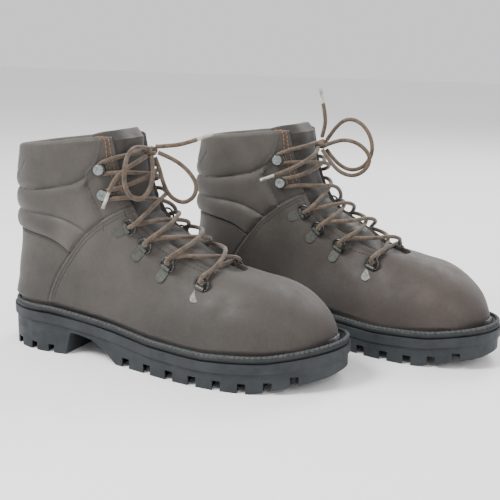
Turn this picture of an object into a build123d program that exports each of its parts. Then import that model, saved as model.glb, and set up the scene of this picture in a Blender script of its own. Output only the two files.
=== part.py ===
"""A pair of leather mountaineering boots, laced and tied, standing side by side on the floor.

Each boot is drawn in its own frame: X runs from the heel to the toe, Z is up from the floor, and Y
points to the inner (medial) side of the right boot. The left boot is the right one mirrored in Y.
The pair's frame has its origin on the floor, in the middle of the box around both boots.
"""

import os
from math import cos, hypot, pi, radians, sin, tan

from build123d import *

# ---- driving dimensions, in millimetres ----------------------------------------------------------
SOLE_LENGTH = 312.0
HEEL_LENGTH = 76.0  # heel back to heel breast
HEEL_BLOCK_TOP = 20.0
LUG_DEPTH = 8.0
TREAD_START = 116.0  # where the forefoot tread begins
TREAD_FLAT_END = 252.0  # where the toe spring begins
TOE_SPRING = 11.0
MIDSOLE_THICKNESS = 8.0
WELT_THICKNESS = 4.5
OUTSOLE_STEP = 1.6  # the outsole stands this far inside the midsole's edge
WELT_STEP = 1.2

LEATHER = 2.2
COLLAR_SWELL = 3.4  # the padded collar stands this far proud of the quarters
LINER_OUT = 4.0  # the lining's outer face, below the leather's outer face
LINER_IN = 5.5
BOARD = 3.0
FOOTBED = 4.5

LACE_D = 3.6
RING_WIRE_R = 0.9
RING_HALF_WIDTH = 6.0
RING_REACH = 9.0
RING_TILT = 26.0  # a ring's rest angle above the leather, in degrees
RING_BAR_HEIGHT = 2.6
HOOK_NECK_R = 1.6

# the left boot's place in the right boot's frame
LEFT_FORWARD = 104.0
LEFT_ASIDE = 145.0
LEFT_HEADING = -5.0

# ---- the sole's outline, heel back first, along the outer side to the toe and back ---------------
SOLE_OUTLINE = [
    (0, 0), (11, -27), (36, -39), (78, -38.5), (118, -41), (162, -50), (205, -56), (246, -53),
    (280, -39), (303, -17), (SOLE_LENGTH, 8), (304, 31), (280, 46), (246, 53), (208, 51),
    (162, 41), (118, 34), (78, 35.5), (36, 39), (11, 27),
]
# heights of the midsole's top face from heel to toe
SEAT_LINE = [(-12, 36), (55, 35), (108, 29.5), (160, 24), (212, 22.5), (262, 25), (326, 35)]

# ---- the last: sections from the collar's top down round the heel and out to the toe -------------
# each is (front/top point x, z), (back/bottom point x, z), middle y, half width outer, half width
# inner, where it is widest from bottom to top, squareness below that, squareness above it
LAST = [
    ((126, 193), (9, 178), 0, 34, 34, 0.42, 2.3, 3.4),
    ((129, 160), (6, 140), 0, 36, 36, 0.42, 2.3, 3.1),
    ((138, 136), (8, 98), 0, 37, 36, 0.42, 2.3, 3.0),
    ((152, 120), (4, 62), 0, 37, 35, 0.34, 2.4, 3.0),
    ((179, 106), (9, 24), 0, 37, 34, 0.28, 3.0, 3.0),
    ((203, 90), (75, 17), 0, 39, 35, 0.28, 3.8, 2.9),
    ((233, 80), (170, 12), 0, 49, 43, 0.32, 4.0, 2.4),
    ((256, 83), (228, 12), 0, 50, 47, 0.34, 3.8, 2.3),
    ((275, 75), (264, 13), 2, 42, 43, 0.36, 3.2, 2.3),
    ((292, 62), (290, 18), 4, 28, 29, 0.42, 2.6, 2.2),
    ((303, 48), (303, 29), 7, 11, 11, 0.50, 2.0, 2.0),
]
MOUTH_EXTENSION = 14.0  # how far the inner lofts run on above the collar's top
SECTION_POINTS = 4  # points in a quarter of a section

# ---- seams, as side-view lines (x, z) ------------------------------------------------------------
QUARTER_SEAM = [(134, 136), (112, 126), (93, 110), (78, 92), (60, 66), (51, 41), (49, 5)]
SEAM_JUNCTION = 3  # the place in that list where the collar's seam meets it
COLLAR_SEAM_BACK = (-40, 117)
FACING_LINE = [(109, 230), (107, 190), (104, 172), (94, 157), (99, 142), (108, 124), (108, 60)]
MOUTH_LINE = [(-40, 172), (9, 178), (126, 193), (340, 220)]
COUNTER_FRONT = 62.0
COUNTER_TOP = 84.0
PUFF_BACK = 246.0

# the throat: half widths at distances along a line that leans back 45 degrees
THROAT_ORIGIN = (118, 0, 78)
THROAT_TOE = -71.0
THROAT_EDGE = [(-67, 11), (-52, 18), (-25, 21), (20, 23), (60, 25), (80, 27), (100, 28)]
TONGUE_MARGIN = 7.0  # how far the tongue runs on under the facings
TONGUE_TOP = 12.0  # how far the tongue stands above the collar
TONGUE_THICKNESS = 4.0
TONGUE_BACK = 92.0

# hardware stations, from the lowest ring to the top hook: (section place, share of the way from
# the section's widest point to its top)
RING_STATIONS = [(5.45, 0.5), (4.47, 0.5), (3.63, 0.5), (2.8, 0.5)]
HOOK_STATIONS = [(1.5, 0.4), (0.8, 0.4)]

CLIP_WIDTH = 8.0
CLIP_LENGTH = 13.0
CLIP_THICKNESS = 1.2
CLIP_ROLL_R = 2.1
BAR_CLEARANCE = 0.35
STEM_R = 1.5
SKIN_GAP = 0.05
HOOK_BASE_R = 4.6
HOOK_HEAD_R = 5.2
HOOK_HEAD_HEIGHT = 5.4
HOOK_HEAD_OUT = 1.5  # the head leans this far away from the throat


# ---- the last's surface --------------------------------------------------------------------------
def blended(values, place):
    """The value at a place between whole-number places, in a straight line from one to the next."""
    last = len(values) - 1
    place = min(max(place, 0.0), float(last))
    i = min(int(place), last - 1)
    return values[i] + (place - i) * (values[i + 1] - values[i])


def flat_section(section):
    (tx, tz), (bx, bz), *rest = section
    return [tx, tz, bx, bz, *rest]


def last_point(place, side, share, inset=0.0):
    """A point on the last at a section place, on side -1 (outer) or 1 (inner).

    share runs from -1 at the bottom through 0 at the widest to 1 at the top.
    """
    rows = [flat_section(s) for s in LAST]
    tx, tz, bx, bz, mid, outer, inner, widest, low, high = (
        blended([r[k] for r in rows], place) for k in range(10)
    )
    length = hypot(tx - bx, tz - bz)
    ux, uz = (tx - bx) / length, (tz - bz) / length
    run = length - 2 * inset
    half = (outer if side < 0 else inner) - inset
    power = high if share > 0 else low
    angle = abs(share) * pi / 2
    away, across = sin(angle) ** (2 / power), cos(angle) ** (2 / power)
    t = widest + (1 - widest) * away if share > 0 else widest * (1 - away)
    s = inset + t * run
    return Vector(bx + ux * s, mid + side * half * across, bz + uz * s)


def last_frame(place, side, share):
    """(point, outward normal, direction towards the toe)."""
    p = last_point(place, side, share)
    ahead = last_point(place + 0.05, side, share) - last_point(place - 0.05, side, share)
    up = last_point(place, side, share + 0.02) - last_point(place, side, share - 0.02)
    ahead, up = ahead.normalized(), up.normalized()
    normal = (ahead.cross(up) * -side).normalized()
    return p, normal, ahead


def section_plane(section):
    (tx, tz), (bx, bz) = section[0], section[1]
    length = hypot(tx - bx, tz - bz)
    ux, uz = (tx - bx) / length, (tz - bz) / length
    return Plane(origin=(bx, 0, bz), x_dir=(0, 1, 0), z_dir=(uz, 0, -ux)), length


def section_points(section, inset):
    """Points round a section in its own plane, from the bottom over the inner side to the top."""
    _, length = section_plane(section)
    mid, outer, inner, widest, low, high = section[2:]
    run = length - 2 * inset
    points = []
    steps = SECTION_POINTS
    for side, half in ((1, inner - inset), (-1, outer - inset)):
        shares = [k / steps for k in range(-steps, steps + 1)]
        if side < 0:
            shares.reverse()
        for share in shares[:-1]:
            power = high if share > 0 else low
            angle = abs(share) * pi / 2
            away, across = sin(angle) ** (2 / power), abs(cos(angle)) ** (2 / power)
            t = widest + (1 - widest) * away if share > 0 else widest * (1 - away)
            points.append((mid + side * half * across, inset + t * run))
    return points


def last_solid(inset, open_mouth=True):
    """The last as a solid, inset from the leather's outer face, run on upwards past the mouth."""
    sections = list(LAST)
    if open_mouth:
        (tx, tz), (bx, bz), *rest = LAST[0]
        sections.insert(0, ((tx, tz + MOUTH_EXTENSION), (bx, bz + MOUTH_EXTENSION), *rest))
    small = 2 * inset + 6
    sections = [s for s in sections if min(s[3], s[4]) > inset + 2 and
                hypot(s[0][0] - s[1][0], s[0][1] - s[1][1]) > small]
    with BuildPart() as body:
        for section in sections:
            plane, _ = section_plane(section)
            with BuildSketch(plane):
                with BuildLine():
                    Polyline(*section_points(section, inset), close=True)
                make_face()
        loft(ruled=True)
    return body.part


# ---- side-view and plan-view prisms --------------------------------------------------------------
def side_prism(points, half_width=90):
    """A polygon in the side view, (x, z) points, run through the whole width."""
    with BuildPart() as prism:
        with BuildSketch(Plane.XZ):
            with BuildLine():
                Polyline(*points, close=True)
            make_face()
        extrude(amount=half_width, both=True)
    return prism.part


def seat_prism(bottom, top):
    """The band between two heights above the seat line, run through the whole width."""
    low = [(x, z + bottom) for x, z in SEAT_LINE]
    high = [(x, z + top) for x, z in SEAT_LINE]
    with BuildPart() as prism:
        with BuildSketch(Plane.XZ):
            with BuildLine():
                Polyline(*low)
                Line(low[-1], high[-1])
                Polyline(*reversed(high))
                Line(high[0], low[0])
            make_face()
        extrude(amount=90, both=True)
    return prism.part


def inset_outline(inset):
    """The sole's outline moved inwards, point by point, along its normals."""
    count = len(SOLE_OUTLINE)
    moved = []
    for i, (x, y) in enumerate(SOLE_OUTLINE):
        (x0, y0), (x1, y1) = SOLE_OUTLINE[i - 1], SOLE_OUTLINE[(i + 1) % count]
        length = hypot(x1 - x0, y1 - y0)
        moved.append((x - (y1 - y0) / length * inset, y + (x1 - x0) / length * inset))
    return moved


def sole_prism(inset, low=-5, high=70):
    """The sole's outline, moved inwards, as an upright prism."""
    with BuildPart() as prism:
        with BuildSketch(Plane.XY.offset(low)):
            with BuildLine():
                Spline(*inset_outline(inset), periodic=True)
            make_face()
        extrude(amount=high - low)
    return prism.part


def throat_prism(margin):
    """The throat's opening, widened by margin, run outwards from inside the boot."""
    side = [(half + margin, s) for s, half in THROAT_EDGE]
    toe = (0, THROAT_TOE - margin / 2)
    plane = Plane(origin=THROAT_ORIGIN, x_dir=(0, 1, 0), z_dir=(1, 0, 1))
    with BuildPart() as prism:
        with BuildSketch(plane):
            with BuildLine():
                Polyline(*[(-y, s) for y, s in reversed(side)], toe, *side)
                Line(side[-1], (-side[-1][0], side[-1][1]))
            make_face()
        extrude(amount=120)
    return prism.part


# ---- the cutting tools that the upper's pieces share ---------------------------------------------
last_outside = last_solid(0)
last_collar = last_solid(-COLLAR_SWELL)
last_under_leather = last_solid(LEATHER)
last_under_counter = last_solid(LINER_OUT)
last_under_tongue = last_solid(LEATHER + TONGUE_THICKNESS)
last_inside = last_solid(LINER_IN)

lower_seam = QUARTER_SEAM[SEAM_JUNCTION:]
upper_seam = QUARTER_SEAM[: SEAM_JUNCTION + 1]
vamp_region = side_prism(QUARTER_SEAM + [(340, 5), (340, 136)])
quarter_region = side_prism([COLLAR_SEAM_BACK] + lower_seam + [(-40, 5)])
shaft_region = side_prism(
    [COLLAR_SEAM_BACK] + upper_seam[::-1] + [(340, 136), (340, 260), (-40, 260)]
)
facing_region = side_prism(FACING_LINE + [(340, 60), (340, 230)])
below_mouth = side_prism(MOUTH_LINE + [(340, -20), (-40, -20)])
below_tongue_top = side_prism(
    [(x, z + TONGUE_TOP) for x, z in MOUTH_LINE] + [(340, -20), (-40, -20)]
)
above_seat = seat_prism(0, 300)
above_board = seat_prism(BOARD, 300)
throat = throat_prism(0)
ahead_of_ankle = side_prism([(TONGUE_BACK, 0), (340, 0), (340, 260), (TONGUE_BACK, 260)])
tongue_outline = throat_prism(TONGUE_MARGIN) & ahead_of_ankle


def shell(outer, inner, keeps, cuts=()):
    """The layer between two lasts, kept inside every keep and clear of every cut."""
    with BuildPart() as layer:
        add(outer)
        for keep in keeps:
            add(keep, mode=Mode.INTERSECT)
        add(inner, mode=Mode.SUBTRACT)
        for cut in cuts:
            add(cut, mode=Mode.SUBTRACT)
    return layer.part


# ---- lacing hardware -----------------------------------------------------------------------------
def station_plane(station, side):
    """The leather's tangent plane at a station: local x towards the toe, local z outwards."""
    point, normal, ahead = last_frame(station[0], side, station[1])
    return Plane(origin=point, x_dir=ahead, z_dir=normal)


def stem(station, side, away):
    """The rivet stem through the leather, away from the station against the throat."""
    plane = station_plane(station, side)
    with BuildPart() as piece:
        with BuildSketch(plane.offset(SKIN_GAP + CLIP_THICKNESS / 2)):
            with Locations((0, side * away)):
                Circle(STEM_R)
        extrude(amount=-(LEATHER + CLIP_THICKNESS / 2 - 0.2))
    return piece.part


def ring_clip(station, side):
    """A clip: a round-ended tab riveted to the leather, rolled round the ring's bar."""
    plane = station_plane(station, side)
    across = plane.offset(RING_BAR_HEIGHT)
    roll = Plane(origin=across.origin - plane.x_dir * CLIP_WIDTH / 2, z_dir=plane.x_dir)
    with BuildPart() as piece:
        with BuildSketch(plane.offset(SKIN_GAP)):
            with Locations((0, side * (CLIP_LENGTH - CLIP_WIDTH / 2) / 2)):
                Rectangle(CLIP_WIDTH, CLIP_LENGTH - CLIP_WIDTH / 2)
            with Locations((0, side * (CLIP_LENGTH - CLIP_WIDTH / 2))):
                Circle(CLIP_WIDTH / 2)
        extrude(amount=CLIP_THICKNESS)
        with BuildSketch(roll):
            Circle(CLIP_ROLL_R)
        extrude(amount=CLIP_WIDTH)
        with BuildSketch(roll.offset(-1)):
            Circle(RING_WIRE_R + BAR_CLEARANCE)
        extrude(amount=CLIP_WIDTH + 2, mode=Mode.SUBTRACT)
        add(stem(station, side, CLIP_LENGTH - CLIP_WIDTH / 2))
    return piece.part


def ring_axes(station, side):
    """(bar's middle, bar's direction, from the bar to the ring's far wire, the ring's normal)."""
    plane = station_plane(station, side)
    inward = plane.y_dir * -side
    tilt = radians(RING_TILT)
    reach = inward * cos(tilt) + plane.z_dir * sin(tilt)
    normal = plane.z_dir * cos(tilt) - inward * sin(tilt)
    return plane.origin + plane.z_dir * RING_BAR_HEIGHT, plane.x_dir, reach, normal


def ring(station, side):
    """A D-shaped ring of round wire, its bar in the clip's roll."""
    middle, bar, reach, normal = ring_axes(station, side)
    corners = [(-RING_HALF_WIDTH, 0), (RING_HALF_WIDTH, 0),
               (RING_HALF_WIDTH, RING_REACH), (-RING_HALF_WIDTH, RING_REACH)]
    corners = [middle + bar * x + reach * y for x, y in corners]
    bends = [1.5, 1.5, 5.2, 5.2]
    with BuildPart() as piece:
        with BuildLine() as wire:
            FilletPolyline(*corners, radius=bends, close=True)
        with BuildSketch(Plane(origin=wire.line @ 0, z_dir=wire.line % 0)):
            Circle(RING_WIRE_R)
        sweep()
    return piece.part


def hook(station, side):
    """A lacing hook: a base on the leather, a neck, and a domed head leaning outwards."""
    plane = station_plane(station, side)
    with BuildPart() as piece:
        with BuildSketch(plane.offset(SKIN_GAP)):
            Circle(HOOK_BASE_R)
        extrude(amount=0.9)
        with BuildSketch(plane.offset(SKIN_GAP)):
            Circle(HOOK_NECK_R)
        extrude(amount=HOOK_HEAD_HEIGHT)
        with BuildSketch(plane.offset(HOOK_HEAD_HEIGHT)):
            with Locations((0, side * HOOK_HEAD_OUT)):
                Circle(HOOK_HEAD_R)
        extrude(amount=2.2, taper=25)
        add(stem(station, side, 0))
    return piece.part


# ---- the sole ------------------------------------------------------------------------------------
TREAD_LINE = [(TREAD_START - 4, 9), (TREAD_START + 8, 0), (TREAD_FLAT_END, 0),
              (SOLE_LENGTH - 8, TOE_SPRING), (SOLE_LENGTH + 12, TOE_SPRING + 8)]


def tread_height(x):
    """The height of the tread's bottom at x, ahead of the arch."""
    rise = TOE_SPRING / (SOLE_LENGTH - 8 - TREAD_FLAT_END)
    return max(0.0, (x - TREAD_FLAT_END) * rise)


def make_outsole():
    rows = [TREAD_START + 16 + 21.5 * row for row in range(8)]
    # each groove: (x, y, length, width, turn, top)
    grooves = [(x + 4, side * 46, 44, 6.5, 90 - side * 18, tread_height(x) + LUG_DEPTH)
               for x in rows for side in (-1, 1)]
    grooves += [(x + 11, 2, 30, 5, 90, tread_height(x + 11) + LUG_DEPTH) for x in rows[:-1]]
    with BuildPart() as outsole:
        add(sole_prism(OUTSOLE_STEP))
        add(seat_prism(-60, -MIDSOLE_THICKNESS), mode=Mode.INTERSECT)
        add(side_prism([(-20, HEEL_BLOCK_TOP), (HEEL_LENGTH + 6, HEEL_BLOCK_TOP),
                        (HEEL_LENGTH + 22, HEEL_BLOCK_TOP - 3)] + TREAD_LINE
                       + [(SOLE_LENGTH + 12, 90), (-20, 90)]), mode=Mode.INTERSECT)
        for x, y, length, width, turn, top in grooves:
            with BuildSketch(Plane.XY.offset(top)):
                with Locations(Location((x, y, 0), (0, 0, turn))):
                    SlotOverall(length, width)
            extrude(amount=-40, mode=Mode.SUBTRACT)
    return outsole.part


def make_heel_block():
    grooves = [(x, side * 36, 34, 5.5, 90 - side * 14, LUG_DEPTH - 1)
               for x in (20, 38, 56) for side in (-1, 1)]
    with BuildPart() as heel:
        add(sole_prism(OUTSOLE_STEP))
        add(side_prism([(-20, HEEL_BLOCK_TOP), (HEEL_LENGTH, HEEL_BLOCK_TOP),
                        (HEEL_LENGTH - 5, 0), (7, 0), (-20, 8)]), mode=Mode.INTERSECT)
        for x, y, length, width, turn, top in grooves:
            with BuildSketch(Plane.XY.offset(top)):
                with Locations(Location((x, y, 0), (0, 0, turn))):
                    SlotOverall(length, width)
            extrude(amount=-40, mode=Mode.SUBTRACT)
    return heel.part


def make_sole():
    """(midsole, shank, welt, insole board, footbed)."""
    shank_prism = side_prism([(58, 0), (196, 0), (196, 60), (58, 60)], 9)
    with BuildPart() as shank:
        add(seat_prism(-1.8, 0))
        add(shank_prism, mode=Mode.INTERSECT)
    with BuildPart() as midsole:
        add(sole_prism(0))
        add(seat_prism(-MIDSOLE_THICKNESS, 0), mode=Mode.INTERSECT)
        add(shank.part, mode=Mode.SUBTRACT)
    with BuildPart() as welt:
        add(sole_prism(WELT_STEP))
        add(seat_prism(0, WELT_THICKNESS), mode=Mode.INTERSECT)
        add(last_outside, mode=Mode.SUBTRACT)
    with BuildPart() as board:
        add(last_under_leather)
        add(seat_prism(0, BOARD), mode=Mode.INTERSECT)
    with BuildPart() as footbed:
        add(last_inside)
        add(seat_prism(BOARD, BOARD + FOOTBED), mode=Mode.INTERSECT)
    return midsole.part, shank.part, welt.part, board.part, footbed.part


# ---- laces ---------------------------------------------------------------------------------------
# Each route is a list of points in the right boot's frame, mirrored for the left boot.
KNOT = (136, 0, 177)
KNOT_R = 7.5
TIP_LENGTH = 14.0
TIP_R = 1.45
# the laced stretch, from the knot's outer side down to the lowest rings and back up
LACING = [
    (131.5, -4, 178.5), (130, -16, 176.5), (117, -32, 173), (105.5, -35, 167.5),
    (105.5, -35.5, 159.5), (122, -30, 162), (133, -14, 160.5), (135, 0, 158),
    (135, 14, 155), (125, 30, 149), (108, 35.5, 146), (110, 35.5, 138.5),
    (128, 31, 142), (143, 15, 140.5), (147.5, 0, 140), (147.5, -18, 133.5),
    (141, -37, 121), (135, -36, 118.5), (135.5, -28.5, 118.5), (142, -29.5, 121.5),
    (152.5, -17, 123), (160, 0, 121.5), (162, 17.5, 117.5), (153, 36, 109),
    (149, 34.5, 104), (149.5, 27, 105.5), (154.5, 28.5, 111), (174, 19, 112),
    (185.5, 0, 113.5), (185.5, -18.5, 107.5), (173, -37.5, 98), (170, -36.5, 92),
    (170.5, -29, 92), (173.5, -30, 98.5), (196.5, -17, 97), (204.5, 0, 95),
    (209, 17, 91), (204.5, 27, 86.5), (202.5, 27.5, 79.5), (202, 35, 81),
    (203.5, 34.5, 87.5), (203.5, -37.5, 87.5), (202, -38.5, 81), (202.5, -31, 79.5),
    (204.5, -30, 86.5), (209.5, -17.5, 94), (206.5, 0, 99), (196, 18.5, 98.5),
    (173.5, 27.5, 98.5), (170.5, 26.5, 92), (170, 34, 91.5), (173, 35, 97.5),
    (183.5, 18, 104.5), (183, 0, 109.5), (174, -17, 111), (154.5, -30, 111),
    (149.5, -29, 105.5), (149, -36.5, 104.5), (153, -37.5, 109.5), (163.5, -18, 120),
    (162, 0, 125.5), (153.5, 18, 124), (142, 28.5, 121.5), (135.5, 27.5, 118.5),
    (135, 35, 118), (141, 36, 121), (145.5, 17, 131.5), (144, 0, 137),
    (140.5, -14.5, 139.5), (128, -30, 142), (110, -36, 138.5), (108, -35.5, 146),
    (126.5, -31, 149.5), (137.5, -15, 156), (139.5, 0, 160), (135.5, 15, 161.5),
    (122.5, 31, 162.5), (105.5, 35.5, 159.5), (105.5, 35, 167.5), (117, 32, 173),
    (130, 16, 176.5), (131.5, 4, 178.5),
]
# the loops and the ends beyond the knot
ROUTES = {
    "right": {
        "bow_loop_outer": [
            (136, -5.5, 180), (132, -16, 183), (131, -28, 178), (133, -37, 168), (134, -40, 155),
            (137, -36, 144), (142, -28, 140), (146, -20, 147), (145, -11, 160), (139, -4, 173.5),
        ],
        "bow_loop_inner": [
            (141, 3, 176), (153, 8, 171), (165, 11, 162), (173, 12, 151), (172, 10, 140),
            (163, 6, 134), (153, 1, 140), (148, -1, 151), (144, 0, 163), (139.5, 0.5, 172),
        ],
        "lace_end_outer": [
            (135, -5.5, 173.5), (135, -17, 171), (130, -29, 166), (123, -38, 157), (121, -42, 147),
        ],
        "lace_end_inner": [
            (140, 1, 181), (151, 4, 182), (163, 8, 184), (173, 12, 188),
        ],
    },
    "left": {
        "bow_loop_inner": [
            (140, -1, 181), (148, 0, 193), (160, 1, 202), (174, 2, 199), (184, 2, 187),
            (186, 1, 172), (178, 0, 159), (164, -1, 154), (149, -1, 161), (139.5, -1.5, 172),
        ],
        "bow_loop_outer": [
            (141, 3.5, 176.5), (152, 9, 181), (165, 13, 184), (178, 13, 181), (188, 11, 171),
            (185, 10, 159), (173, 10, 151), (159, 9, 153), (148, 8, 162), (138.5, 5, 172),
        ],
        "lace_end_outer": [
            (134, 5.5, 174), (139, 17, 171), (134, 31, 164), (122, 41, 156), (110, 44, 151),
        ],
        "lace_end_inner": [
            (136, 2, 183.5), (139, 3, 192), (140, 4, 202), (137, 4, 214),
        ],
    },
}


def bend_radii(points):
    """Each corner's radius: 0.45 of its shorter run over the tangent of half its turn."""
    radii = []
    for before, corner, after in zip(points, points[1:], points[2:]):
        run_in, run_out = corner - before, after - corner
        turn = radians(run_in.get_angle(run_out))
        radii.append(0.45 * min(run_in.length, run_out.length) / tan(turn / 2))
    return radii


def lace(points):
    """A lace's tube along a route, its corners rounded."""
    points = [Vector(*p) for p in points]
    with BuildPart() as tube:
        with BuildLine() as route:
            FilletPolyline(*points, radius=bend_radii(points))
        with BuildSketch(Plane(origin=route.line @ 0, z_dir=route.line % 0)):
            Circle(LACE_D / 2)
        sweep()
    return tube.part


def lace_tip(points):
    """The stiff tip that carries on past a lace end's last point."""
    last, before = Vector(*points[-1]), Vector(*points[-2])
    with BuildPart() as tip:
        with BuildSketch(Plane(origin=last, z_dir=last - before)):
            Circle(TIP_R)
        extrude(amount=TIP_LENGTH)
    return tip.part


def make_laces(foot, lacing):
    """The knot, the bow's loops, the free ends and their tips."""
    tubes = {name: lace(points) for name, points in ROUTES[foot].items()}
    with BuildPart() as knot:
        with Locations(Location(KNOT, (0, 90, 0))):
            Sphere(KNOT_R)
        add([lacing, *tubes.values()], mode=Mode.SUBTRACT)
    tips = [lace_tip(points) for name, points in ROUTES[foot].items() if "end" in name]
    return tubes | {"knot": knot.part, "lace_tips": Compound(tips)}


# ---- one boot, as a list of (node name, part) ----------------------------------------------------
SIDES = {"outer": -1, "inner": 1}


def make_boot():
    stations = [(s, side) for s in RING_STATIONS for side in SIDES.values()]
    hooks = [(s, side) for s in HOOK_STATIONS for side in SIDES.values()]
    stems = [stem(s, side, CLIP_LENGTH - CLIP_WIDTH / 2) for s, side in stations]
    stems += [stem(s, side, 0) for s, side in hooks]
    stems = Compound(stems)
    midsole, shank, welt, board, footbed = make_sole()
    counter_zone = side_prism([(-40, 5), (COUNTER_FRONT, 5), (COUNTER_FRONT - 14, COUNTER_TOP),
                               (-40, COUNTER_TOP)])
    puff_zone = side_prism([(PUFF_BACK, 5), (340, 5), (340, 90), (PUFF_BACK, 90)])
    counter = shell(last_under_leather, last_under_counter, [counter_zone, above_board])
    puff = shell(last_under_leather, last_under_counter, [puff_zone, above_board])
    nodes = {
        "heel_block": make_heel_block(),
        "outsole": make_outsole(),
        "midsole": midsole,
        "welt": welt,
        "insole_board": board,
        "footbed": footbed,
        "stiffeners": Compound([shank, counter, puff]),
        "lining": shell(last_under_leather, last_inside, [above_board, below_mouth],
                        [tongue_outline, counter, puff]),
        "vamp": shell(last_outside, last_under_leather, [vamp_region, above_seat],
                      [throat, stems]),
        "quarter": shell(last_outside, last_under_leather, [quarter_region, above_seat]),
        "collar": shell(last_collar, last_under_leather, [shaft_region, below_mouth],
                        [facing_region, throat]),
        "hook_facings": shell(last_outside, last_under_leather,
                              [shaft_region, facing_region, below_mouth], [throat, stems]),
        "tongue": shell(last_under_leather, last_under_tongue,
                        [tongue_outline, below_tongue_top]),
        "hooks": Compound([hook(s, side) for s, side in hooks]),
        "ring_clips": Compound([ring_clip(s, side) for s, side in stations]),
    }
    for row, station in enumerate(RING_STATIONS, 1):
        for name, side in SIDES.items():
            nodes[f"ring_{row}_{name}"] = ring(station, side)
    nodes["lacing"] = lace(LACING)
    return nodes


# ---- the pair ------------------------------------------------------------------------------------
def pair_places(sole):
    """The right and left boots' locations, with the pair's box centred on the origin."""
    left = Location((LEFT_FORWARD, LEFT_ASIDE, 0), (0, 0, LEFT_HEADING))
    both = Compound([sole, mirror(sole, about=Plane.XZ).moved(left)]).bounding_box()
    centre = Location((-(both.min.X + both.max.X) / 2, -(both.min.Y + both.max.Y) / 2, 0))
    return {"right": centre, "left": centre * left}


boot = make_boot()
places = pair_places(boot["midsole"])


def placed(part, foot):
    """A piece of the right boot moved to the pair's frame, mirrored for the left boot."""
    turned = part if foot == "right" else mirror(part, about=Plane.XZ)
    return turned.moved(places[foot])


os.makedirs("parts", exist_ok=True)
for foot in places:
    for name, part in (boot | make_laces(foot, boot["lacing"])).items():
        piece = placed(part, foot)
        piece.label = f"{foot}_{name}"
        export_step(piece, f"parts/{piece.label}.step")
print("bend radii of the lacing:", [round(r, 1) for r in bend_radii([Vector(*p) for p in LACING])])
for foot, routes in ROUTES.items():
    for name, points in routes.items():
        points = [Vector(*p) for p in points]
        radii = bend_radii(points)
        length = FilletPolyline(*points, radius=radii).length
        print(foot, name, "length", round(length, 1), "bend radii", [round(r, 1) for r in radii])
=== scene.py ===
import math

import bpy
import numpy as np
from mathutils import Matrix, Vector
from mathutils.bvhtree import BVHTree


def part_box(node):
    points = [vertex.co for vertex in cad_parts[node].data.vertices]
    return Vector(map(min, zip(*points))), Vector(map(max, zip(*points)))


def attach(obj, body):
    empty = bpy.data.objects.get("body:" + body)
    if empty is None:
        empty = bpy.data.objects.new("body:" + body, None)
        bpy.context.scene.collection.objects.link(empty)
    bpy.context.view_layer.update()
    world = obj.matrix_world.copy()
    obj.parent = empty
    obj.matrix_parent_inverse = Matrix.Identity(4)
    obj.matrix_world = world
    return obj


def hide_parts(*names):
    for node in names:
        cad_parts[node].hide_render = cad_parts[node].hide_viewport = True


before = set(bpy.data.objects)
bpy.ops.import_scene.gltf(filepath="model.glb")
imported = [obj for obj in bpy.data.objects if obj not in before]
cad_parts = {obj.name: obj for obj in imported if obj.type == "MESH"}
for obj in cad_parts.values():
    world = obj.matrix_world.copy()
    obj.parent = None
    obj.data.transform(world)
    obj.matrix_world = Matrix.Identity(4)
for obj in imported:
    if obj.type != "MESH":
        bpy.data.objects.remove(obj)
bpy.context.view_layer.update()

# Shapes are worked out in millimetres in the right boot's own frame: X from heel to toe, Y to the
# inner side, Z up from the floor. The left boot is its mirror image, turned and set beside it.
MM = 0.001
LEFT_FORWARD = 104.0
LEFT_ASIDE = 145.0
LEFT_HEADING = math.radians(-5.0)
OUTER_REACH = 56.3  # from a boot's middle line to its sole's outer edge
FEET = ("right", "left")
sole_low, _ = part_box("right_midsole")
RIGHT_ORIGIN = np.array([sole_low[0] / MM, sole_low[1] / MM + OUTER_REACH, 0.0])


def to_frame(points, foot):
    """Boot millimetres to the row frame's metres."""
    p = np.array(points, dtype=float).reshape(-1, 3)
    if foot == "left":
        c, s = math.cos(LEFT_HEADING), math.sin(LEFT_HEADING)
        x, y = p[:, 0], -p[:, 1]
        p = np.stack([x * c - y * s + LEFT_FORWARD, x * s + y * c + LEFT_ASIDE, p[:, 2]], axis=1)
    return (p + RIGHT_ORIGIN) * MM


# ---- camera --------------------------------------------------------------------------------------
CAMERA_PLACE = (208.0, -809.0, 268.0)  # from the right heel: to the right, back, up
CAMERA_TURN = math.radians(24.1)  # the right boot points this far towards the camera
CAMERA_PITCH = math.radians(13.0)
CAMERA_ROLL = math.radians(1.0)
CAMERA_LENS = 65.2


def make_camera():
    data = bpy.data.cameras.new("camera")
    data.lens = CAMERA_LENS
    data.sensor_width = 36.0
    data.clip_end = 20.0
    cam = bpy.data.objects.new("camera", data)
    bpy.context.scene.collection.objects.link(cam)
    turn = Matrix.Rotation(CAMERA_TURN, 4, "Z")
    look = Matrix.Rotation(math.pi / 2 - CAMERA_PITCH, 4, "X") @ Matrix.Rotation(CAMERA_ROLL, 4, "Z")
    place = turn @ Vector(CAMERA_PLACE)
    place = (place + Vector(RIGHT_ORIGIN)) * MM
    cam.matrix_world = Matrix.Translation(place) @ turn @ look
    bpy.context.scene.camera = cam


make_camera()


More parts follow.
